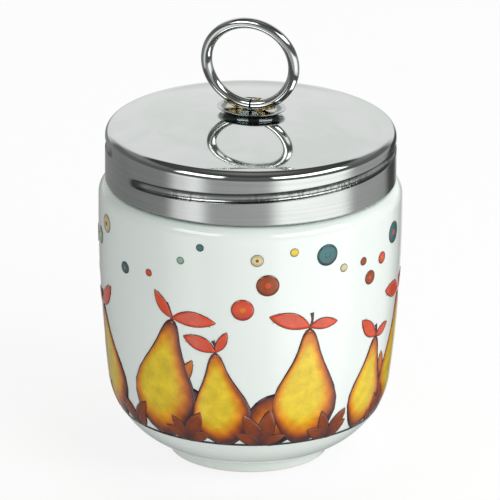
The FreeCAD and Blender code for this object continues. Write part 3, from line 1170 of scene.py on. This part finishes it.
@dataclass
class ScrewLid:
    """Drawn steel lid: skirt with a rolled thread, rolled corner and shallow dome."""

    thread: Thread
    steps: int = 384
    sheet: float = 0.45
    corner_r: float = 2.1
    sagitta: float = 3.0
    skirt_h: float = 9.45
    groove_w: float = 2.1
    groove_depth: float = 0.5
    ridge_h: float = 0.8
    groove_reach: float = 1.06
    groove_power: float = 2.4
    plain_edge: float = 0.3
    taper_deg: float = 14.0
    rows: int = 72
    rows_inside: int = 40
    outer_r: float = field(init=False)
    edge_z: float = field(init=False)

    def __post_init__(self) -> None:
        """Takes the lid's radius and height from the frame."""
        low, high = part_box("screw_lid")
        self.outer_r = high[0] / MM
        self.edge_z = low[2] / MM

    @property
    def rim_z(self) -> float:
        """Height of the circle where the dome begins."""
        return self.edge_z + self.skirt_h + self.corner_r

    @property
    def dome(self) -> Ball:
        """Ball that the top is part of."""
        return Ball(self.outer_r - self.corner_r, self.rim_z, self.sagitta)

    def section(self) -> Profile:
        """Draws the sheet's section from inside the skirt's edge, over the top and back."""
        corner_x = self.outer_r - self.corner_r
        corner_z = self.edge_z + self.skirt_h
        half = self.sheet / 2
        under = Ball(corner_x, self.rim_z - self.sheet, self.sagitta)
        p = Profile(self.outer_r - self.sheet, self.edge_z + half)
        p.round((self.outer_r - half, self.edge_z + half), half, 180, 360, 8)
        p.line(self.outer_r, corner_z, self.rows)
        p.round((corner_x, corner_z), self.corner_r, 0, 90, 18)
        p.over(self.dome, 0.0, 26)
        p.line(0.0, under.z(0.0))
        p.over(under, corner_x, 10)
        p.round((corner_x, corner_z), self.corner_r - self.sheet, 90, 0, 8)
        p.line(self.outer_r - self.sheet, self.edge_z + half, self.rows_inside)
        return p

    def roll_thread(self, piece: bpy.types.Object) -> None:
        """Rolls the thread into the skirt: its rows follow the helix, and the wall is pressed in."""
        points = coords(piece)
        r, angle = polar(points)
        t = points[:, 2] - self.edge_z
        wall = (r > self.outer_r - self.sheet - HAIR_MM) & (t < self.skirt_h + HAIR_MM)
        along = self.thread.along(angle, self.thread.first_deg)
        length = self.thread.length_deg
        gap = 360.0 / self.thread.starts - length
        climb = self.thread.lead_mm / 360
        back = np.clip((along - length) / gap, 0, 1)
        middle = self.thread.lid_rise_mm + climb * np.minimum(along, length)
        middle = middle - smooth_step(back) * climb * length
        half = self.groove_w / 2
        band = half * self.groove_reach
        home = self.thread.lid_rise_mm + climb * length / 2
        low, high = home - band, home + band
        below = t * (middle - band) / low
        inside = t - home + middle
        above = self.skirt_h - (self.skirt_h - t) * (self.skirt_h - middle - band) / (self.skirt_h - high)
        slid = np.where(t < low, below, np.where(t > high, above, inside))
        across = np.clip(np.abs(t - home) / half, 0, 1)
        outer = r > self.outer_r - self.sheet / 2
        deep = np.where(outer, self.groove_depth, self.ridge_h)
        press = deep * (1 - across ** self.groove_power) * ends_mask(along, length, self.taper_deg)
        press = np.where((t > low) & (t < high), press, 0.0)
        mark(piece, "groove", np.where(wall & outer, press / self.groove_depth, 0.0))
        points[:, 2] = self.edge_z + np.where(wall & (t > self.plain_edge), slid, t)
        points[:, :2] *= np.where(wall, (r - press) / r, 1.0)[:, None]
        move_points(piece, points)

    def build(self, steel: bpy.types.Material) -> bpy.types.Object:
        """Turns the lid, rolls its thread and puts it on its body."""
        piece = turned("lid_shell", self.section(), self.steps)
        self.roll_thread(piece)
        return dress(piece, steel, Body.LID, ["screw_lid"])


@dataclass
class Seal:
    """Flat washer inside the lid."""

    width: float = 3.2
    edge: float = 0.15
    step: float = 0.30

    def build(self, rubber: bpy.types.Material) -> bpy.types.Object:
        """Turns the washer with rounded edges, inside the frame's own box for it."""
        low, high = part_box("lid_seal")
        outer, bottom, top = high[0] / MM, low[2] / MM, high[2] / MM - HAIR_MM
        inner, edge, shoulder = outer - self.width, self.edge, top + HAIR_MM - self.step
        p = Profile(inner + edge, bottom)
        p.line(outer - edge, bottom, 4)
        p.round((outer - edge, bottom + edge), edge, -90, 0, 4)
        p.line(outer, shoulder - edge)
        p.round((outer - edge, shoulder - edge), edge, 0, 90, 4)
        p.line(inner + edge, top, 4)
        p.round((inner + edge, top - edge), edge, 90, 180, 4)
        p.line(inner, bottom + edge)
        p.round((inner + edge, bottom + edge), edge, 180, 270, 4)
        piece = turned("seal_washer", p, 160)
        return dress(piece, rubber, Body.SEAL, ["lid_seal"])


@dataclass
class LiftingRing:
    """Bent wire ring, the dished collar that it stands on, and the braze between them."""

    lid: ScrewLid
    ring_r: float = 9.4
    wire_r: float = 1.15
    gap: float = 0.42
    lean_deg: float = 5.0
    oval: tuple[float, float] = (1.022, 0.982)
    base_r: float = 5.7
    lip_r: float = 7.35
    lip_h: float = 1.12
    lip_soft: float = 0.13
    dish_h: float = 0.45
    flare: float = 0.22
    depth_share: float = 0.80
    fillet_out: float = 3.15
    flame_out: float = 1.4
    flame_up: float = 0.8

    @property
    def foot_z(self) -> float:
        """Height of the lowest line of the wire."""
        return self.lid.dome.z(0.0) + self.dish_h + HAIR_MM

    def collar(self, steel: bpy.types.Material) -> bpy.types.Object:
        """Turns the flared collar, dished on top, and squeezes it to the oval that cradles the ring."""
        top = self.lid.dome.z(0.0)
        soft = self.lip_soft
        lip_z = top + self.lip_h
        seat = Ball(self.lid.dome.base_r, self.lid.dome.base_z + HAIR_MM, self.lid.dome.rise)
        dish = Ball(self.lip_r - soft, lip_z - soft * 0.4, top + self.dish_h - lip_z + soft * 0.4)
        p = Profile(0.0, seat.z(0.0))
        p.over(seat, self.base_r, 8)
        p.bulge(self.base_r + 0.15, seat.z(self.base_r) + 0.15, 0.03, 3)
        p.bulge(self.lip_r, lip_z - soft, -self.flare, 14)
        p.bulge(self.lip_r - soft, lip_z - soft * 0.4, soft * 0.5, 6)
        p.over(dish, 0.0, 14)
        piece = turned("ring_collar_shell", p, 144)
        points = coords(piece)
        r = polar(points)[0]
        # points of the flank under the lip, which the collar's steel darkens as painted shade
        under = (r > self.base_r - 0.1) & (points[:, 2] < lip_z - soft) & (points[:, 2] < dish.base_z - soft)
        points[:, 1] *= self.depth_share
        low = seat.z(0.0) - 0.4
        share = np.clip((points[:, 2] - low) / (lip_z - low), 0.0, 1.0)
        points[:, 0] *= 1 + 0.012 * share * np.sin(np.arctan2(points[:, 1], points[:, 0]) * 3 + 0.6)
        mark(piece, "flank", under.astype(float))
        move_points(piece, points)
        return dress(piece, steel, Body.LID, ["ring_collar"])

    def wire(self, steel: bpy.types.Material) -> bpy.types.Object:
        """Spins a wire section round the ring, closes its two cut ends, and leans and bends it by hand."""
        select()
        start = self.foot_z + self.wire_r
        centre = start + self.ring_r
        half_gap = self.gap / 2 / self.ring_r
        bpy.ops.mesh.primitive_circle_add(vertices=40, radius=self.wire_r * MM, fill_type="NOTHING",
                                          rotation=(0.0, math.pi / 2, 0.0), location=(0.0, 0.0, start * MM))
        piece = bpy.context.object
        axis = {"center": (0.0, 0.0, centre * MM), "axis": (0.0, 1.0, 0.0)}
        with editing(piece):
            bpy.ops.mesh.spin(steps=200, angle=2 * math.pi - 2 * half_gap, **axis)
            bpy.ops.mesh.select_all(action="SELECT")
            bpy.ops.mesh.fill_holes(sides=0)
            bpy.ops.mesh.select_all(action="SELECT")
            bpy.ops.mesh.normals_make_consistent(inside=False)
        settle(piece, "lifting_ring_wire")
        bpy.ops.object.shade_smooth_by_angle(angle=math.radians(50))
        points = coords(piece)
        x, z = points[:, 0].copy(), points[:, 2] - centre
        c, s = math.cos(half_gap), math.sin(half_gap)
        wide, tall = self.oval
        points[:, 0] = (x * c - z * s) * wide
        points[:, 2] = (x * s + z * c + self.ring_r) * tall + start
        round_at = np.arctan2(points[:, 0], points[:, 2] - centre)
        points[:, 0] += 0.05 * np.sin(2 * round_at + 0.8)
        lean = math.radians(self.lean_deg)
        y, up = points[:, 1].copy(), points[:, 2] - start
        points[:, 1] = y * math.cos(lean) - up * math.sin(lean)
        points[:, 2] = y * math.sin(lean) + up * math.cos(lean) + start
        move_points(piece, points)
        return dress(piece, steel, Body.LID, ["lifting_ring"])

    def bead(self, name: str, centre: Point, half: tuple[float, float, float], turn: float,
             metal: bpy.types.Material, stands_for: Sequence[str] = ()) -> bpy.types.Object:
        """Models one lumpy run of braze.

        Args:
            name: Name of the piece.
            centre: Its middle, across and up.
            half: Half its length, depth and height.
            turn: Its slope, in radians, rising to the right.
            metal: The braze.
            stands_for: Nodes that it replaces.

        Returns:
            The bead.
        """
        select()
        bpy.ops.mesh.primitive_uv_sphere_add(segments=48, ring_count=28, radius=MM,
                                             location=(centre[0] * MM, 0.0, centre[1] * MM))
        piece = bpy.context.object
        piece.scale = half
        piece.rotation_euler = (0.0, -turn, 0.0)
        settle(piece, name)
        points = coords(piece)
        middle = points.mean(axis=0)
        away = points - middle
        lumps = 1 + 0.09 * np.sin(3.1 * away[:, 0] + centre[0])
        lumps += 0.07 * np.sin(7.3 * away[:, 1] + 4.0 * away[:, 0])
        move_points(piece, middle + away * lumps[:, None])
        return dress(piece, metal, Body.LID, stands_for)

    def braze(self, metal: bpy.types.Material, cut_shade: bpy.types.Material) -> None:
        """Runs braze on both sides of the wire's cut, with a burr over it, and fills the cut with a
        near-black bead as painted shade.
        """
        outer = self.ring_r + self.wire_r
        slope = math.asin(self.fillet_out / outer)
        under = self.foot_z + outer * (1 - math.cos(slope))
        for side, end in ((-1, "left"), (1, "right")):
            self.bead("braze_run_" + end, (side * self.fillet_out, under + HAIR_MM), (2.6, 0.70, 0.32),
                      side * slope * 0.8, metal, ["braze_" + end])
        over = self.foot_z + 2 * self.wire_r + 0.12
        self.bead("braze_burr", (1.25, over), (0.85, 0.30, 0.20), 0.35, metal)
        # painted shade: a near-black bead fills the wire's cut, where the gap looks dark
        inside = self.wire_r * 0.94
        half = (self.gap * 0.8, inside, inside)
        self.bead("shade_in_cut", (0.0, self.foot_z + self.wire_r), half, 0.0, cut_shade)

    def heat_spots(self) -> tuple[tuple[float, float, float], ...]:
        """Places where the flame tinted the wire."""
        return tuple((side * (self.fillet_out + self.flame_out), 0.0, self.foot_z + self.flame_up)
                     for side in (-1, 1))


# Studio


@dataclass
class Studio:
    """Pale floor, plain light, surroundings for the metal to mirror, and the camera."""

    azimuth_deg: float = 18.0
    elevation_deg: float = 20.2
    roll_deg: float = -0.45
    distance: float = 1.6
    field_mm: float = 105.6
    aim_z_mm: float = 43.95
    ambient: float = 0.70
    ambient_tone: Colour = (0.93, 1.0, 0.945)
    under_tone: Colour = (0.16, 0.17, 0.16)
    floor_glow: float = 0.80
    floor_bounce: float = 0.5
    lamp_reach: float = 1.1
    lamps: tuple[tuple[str, float, float, float, float], ...] = (
        ("key", 48.0, 34.0, 0.7, 6.2), ("fill", -48.0, 30.0, 0.9, 0.6), ("overhead", 150.0, 65.0, 0.9, 3.0))

    def floor(self) -> None:
        """Lays a wide pale floor that keeps the shadow."""
        select()
        bpy.ops.mesh.primitive_plane_add(size=3.0, location=(0.0, 0.0, 0.0))
        floor = bpy.context.object
        with editing(floor):
            bpy.ops.mesh.subdivide(number_cuts=8)
        settle(floor, "pale_floor")
        floor.visible_glossy = False
        material = bpy.data.materials.new("pale_paper")
        material.use_nodes = True
        tree = Shader(material.node_tree)
        material.node_tree.nodes.clear()
        tone = tree.ramp(tree.noise(tree.place(), 800.0), ((0.3, 0.93), (0.7, 0.96)))
        matt = tree.add("ShaderNodeBsdfDiffuse", {"Color": tone}).outputs[0]
        glow = tree.add("ShaderNodeEmission", {"Color": (1.0, 1.0, 1.0, 1.0), "Strength": 1.0}).outputs[0]
        path = tree.add("ShaderNodeLightPath").outputs
        seen = tree.math("MAXIMUM", path["Is Camera Ray"], path["Is Glossy Ray"])
        seen = tree.math("MAXIMUM", seen, path["Is Transmission Ray"])
        share = tree.math("MULTIPLY_ADD", seen, self.floor_glow - self.floor_bounce, self.floor_bounce)
        below = tree.add("ShaderNodeNewGeometry").outputs["Backfacing"]
        clear = tree.add("ShaderNodeBsdfTransparent").outputs[0]
        sheet = tree.blend(below, tree.blend(share, matt, glow), clear)
        tree.add("ShaderNodeOutputMaterial", {"Surface": sheet})
        floor.data.materials.append(material)

    def surroundings(self) -> None:
        """Builds the world: even light for matt surfaces, white behind, and a studio for mirrors."""
        world = bpy.data.worlds.new("studio")
        bpy.context.scene.world = world
        world.use_nodes = True
        world.node_tree.nodes.clear()
        tree = Shader(world.node_tree)
        way = tree.add("ShaderNodeTexCoord").outputs["Generated"]
        faced = tree.add("ShaderNodeVectorRotate", {"Vector": way, "Angle": -math.radians(self.azimuth_deg)},
                         rotation_type="Z_AXIS").outputs[0]
        right, away, up = tree.split(faced)
        round_from_front = tree.math("ARCTAN2", right, tree.math("MULTIPLY", away, -1.0))
        at = tree.math("MULTIPLY_ADD", round_from_front, 1 / (2 * math.pi), 0.5)
        level = tree.math("MULTIPLY_ADD", tree.math("ARCSINE", up), 1 / math.pi, 0.5)

        def turns(*stops: Point) -> list[Point]:
            return [(0.5 + degrees / 360, tone) for degrees, tone in stops]

        def heights(*stops: Point) -> list[Point]:
            return [(0.5 + degrees / 180, tone) for degrees, tone in stops]

        low = tree.ramp(at, turns(
            (-180, 0.62), (-162, 0.24), (-120, 0.20), (-72, 0.22), (-58, 0.74), (-44, 0.96), (-30, 0.36),
            (12, 0.40), (27, 1.22), (76, 1.16), (92, 0.36), (132, 0.33), (142, 0.05), (158, 0.06),
            (170, 0.60)), "EASE")
        high = tree.ramp(at, turns(
            (-180, 0.82), (-150, 0.80), (-132, 0.24), (-66, 0.12), (-62, 3.0), (-26, 3.0), (-22, 0.12),
            (18, 0.12), (22, 3.0), (84, 3.0), (88, 0.12), (132, 0.24), (150, 0.80), (180, 0.82)))
        back = tree.ramp(at, turns(
            (-180, 0.82), (-150, 0.80), (-134, 0.14), (-80, 0.10), (80, 0.10), (134, 0.14), (150, 0.80),
            (180, 0.82)))
        box_band = tree.ramp(level, heights((24, 0.0), (27, 1.0), (43, 1.0), (46, 0.0)))
        above = tree.ramp(level, heights((-4, 0.0), (3, 1.0)))
        roof = tree.ramp(level, heights((43, 0.0), (48, 1.0)))
        ceiling = tree.ramp(level, heights((48, 0.045), (66, 0.07), (88, 0.24)))
        under = tree.ramp(level, heights((-38, 1.0), (-27, 0.0)))
        sides = tree.mix(above, low, tree.mix(box_band, back, high))
        mirror = tree.mix(under, tree.mix(roof, sides, ceiling), self.under_tone)
        soft = tree.ramp(at, turns((-170, 0.80), (-75, 0.50), (20, 0.85), (110, 1.0), (170, 0.80)), "EASE")
        path = tree.add("ShaderNodeLightPath").outputs
        even = tree.backdrop(tree.times(soft, self.ambient_tone), self.ambient)
        lit = tree.blend(path["Is Glossy Ray"], even, tree.backdrop(mirror))
        clear = tree.math("MAXIMUM", path["Is Camera Ray"], path["Is Transmission Ray"])
        white = tree.backdrop((1.0, 1.0, 1.0, 1.0))
        tree.add("ShaderNodeOutputWorld", {"Surface": tree.blend(clear, lit, white)})

    def toward(self, turn_deg: float, rise_deg: float) -> Vector:
        """Direction from the object, by degrees to the right of the camera and over the horizon."""
        a, e = math.radians(self.azimuth_deg + turn_deg), math.radians(rise_deg)
        return Vector((math.sin(a) * math.cos(e), -math.cos(a) * math.cos(e), math.sin(e)))

    def lamp(self, name: str, turn_deg: float, rise_deg: float, size: float, watts: float) -> None:
        """Hangs a soft square lamp.

        Args:
            name: Name of the lamp.
            turn_deg: Degrees to the right of the camera, round the object.
            rise_deg: Height over the horizon in degrees.
            size: Side of the lamp in metres.
            watts: Its power.
        """
        data = bpy.data.lights.new(name, "AREA")
        data.shape = "SQUARE"
        data.size = size
        data.energy = watts
        lamp = link(name, data)
        out = self.toward(turn_deg, rise_deg)
        lamp.location = out * self.lamp_reach
        lamp.rotation_euler = out.to_track_quat("Z", "Y").to_euler()
        lamp.visible_glossy = False

    def camera(self) -> None:
        """Sets a long lens at the photograph's angle."""
        data = bpy.data.cameras.new("view")
        data.sensor_width = 36.0
        data.lens = data.sensor_width * self.distance / (self.field_mm * MM)
        data.clip_end = 10.0
        camera = link("view", data)
        out = self.toward(0.0, self.elevation_deg)
        camera.location = out * self.distance + Vector((0.0, 0.0, self.aim_z_mm * MM))
        camera.rotation_mode = "QUATERNION"
        face = out.to_track_quat("Z", "Y").to_matrix().to_4x4()
        roll = Matrix.Rotation(-math.radians(self.roll_deg), 4, "Z")
        camera.rotation_quaternion = (face @ roll).to_quaternion()
        bpy.context.scene.camera = camera

    def build(self) -> None:
        """Sets up the studio."""
        self.floor()
        self.surroundings()
        for lamp in self.lamps:
            self.lamp(*lamp)
        self.camera()
        bpy.context.scene.view_settings.view_transform = "Standard"


def main() -> None:
    """Builds the studio and every piece."""
    logging.basicConfig(level=logging.INFO, format="%(name)s: %(message)s")
    Studio().build()
    glaze = glaze_group()
    polish = polish_group()
    thread = Thread()

    cup = Cup(thread)
    cup.build(Porcelain().material(glaze))
    PrintedBorder(cup).build(GlazeInk().material(glaze))

    lid = ScrewLid(thread)
    skirt = (lid.edge_z - 1.0, lid.edge_z + lid.skirt_h)
    lid.build(PolishedSteel("lid_steel", skirt_mm=skirt).material(polish))
    Seal().build(SoftSeal().material())

    ring = LiftingRing(lid)
    # the collar's flank gets a dark tone as painted shade
    ring.collar(PolishedSteel("collar_steel", tone=(0.66, 0.68, 0.67), smear_tone=(0.58, 0.62, 0.60),
                              gloss=0.06, painted_flank_shade=(0.20, 0.22, 0.22)).material(polish))
    ring.wire(PolishedSteel("ring_steel", gloss=0.07, dents_mm=0.016,
                            heat_at_mm=ring.heat_spots()).material(polish))
    # near-black metal for the bead that fills the wire's cut: painted shade
    cut_shade = BrazeMetal("painted_cut_shade", gold=(0.035, 0.028, 0.022), brown=(0.012, 0.010, 0.008))
    ring.braze(BrazeMetal().material(polish), cut_shade.material(polish))


if __name__ == "__main__":
    main()
